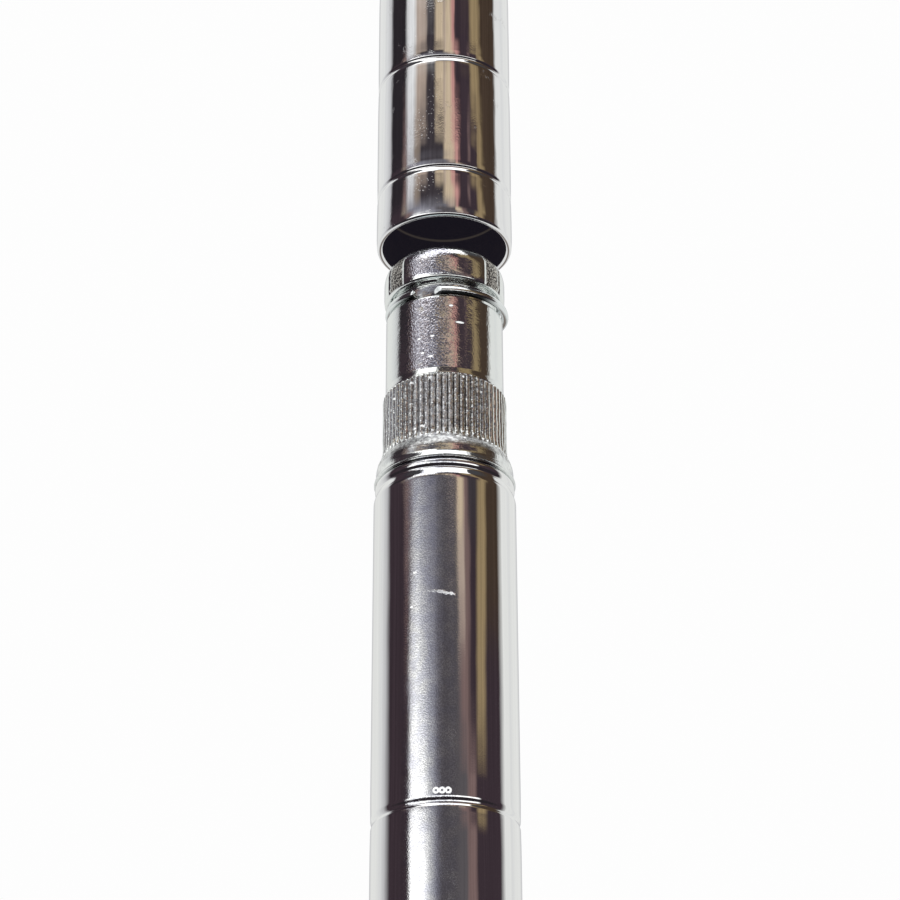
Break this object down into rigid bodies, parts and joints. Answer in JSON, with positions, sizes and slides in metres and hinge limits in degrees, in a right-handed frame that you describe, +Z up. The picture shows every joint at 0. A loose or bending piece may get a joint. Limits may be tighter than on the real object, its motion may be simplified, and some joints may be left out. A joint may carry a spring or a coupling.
{
  "type": "sectional shelving post",
  "caption": "Chrome-plated grooved tubular post in two sections that push together over a knurled plug with a snap ring, on a screw-in levelling foot.",
  "frame": {"origin": "centre of the levelling foot's underside, on the floor", "axes": "+Z up along the post's axis; -Y faces the viewer; +X is the viewer's right; the snap ring's gap faces -Y, a little towards -X"},
  "size_m": [0.0254, 0.0254, 0.6273],
  "materials": {
    "tube_chrome": "mirror chrome plate with light haze and scuffs",
    "plug_plating": "dull bright plating with fine pits",
    "ring_steel": "polished spring steel",
    "cap_plastic": "fine matt moulded texture",
    "foot_zinc": "bright zinc plate",
    "shell_chrome": "chrome-plated pressing",
    "pad_nylon": "grey nylon, slightly worn underneath"
  },
  "bodies": {
    "foot_glide": {"glide_shell": "shell_chrome", "glide_pad": "pad_nylon"},
    "levelling_screw": {"levelling_stud": "foot_zinc", "adjusting_nut": "foot_zinc"},
    "lower_section": {"lower_tube": "tube_chrome", "coupling_plug": "plug_plating", "foot_insert": "foot_zinc"},
    "retaining_ring": {"snap_ring": "ring_steel"},
    "upper_section": {"upper_tube": "tube_chrome", "top_cap": "cap_plastic"}
  },
  "joints": [
    {"name": "post_height", "type": "slide", "parent": "foot_glide", "child": "lower_section", "axis": [0, 0, 1], "range_m": [-0.0045, 0.009]},
    {"name": "screw_turn", "type": "hinge", "parent": "foot_glide", "child": "levelling_screw", "pos_m": [0, 0, 0.007], "axis": [0, 0, 1], "range_deg": [-2160, 1080]},
    {"name": "ring_turn", "type": "hinge", "parent": "lower_section", "child": "retaining_ring", "pos_m": [0, 0, 0.3338], "axis": [0, 0, 1], "continuous": true},
    {"name": "section_travel", "type": "slide", "parent": "retaining_ring", "child": "upper_section", "axis": [0, 0, 1], "range_m": [-0.0455, 0.03], "deforming": ["snap_ring"]}
  ],
  "couplings": [
    {"joint": "screw_turn", "follows": "post_height", "rad_per_m": -4188.8}
  ]
}
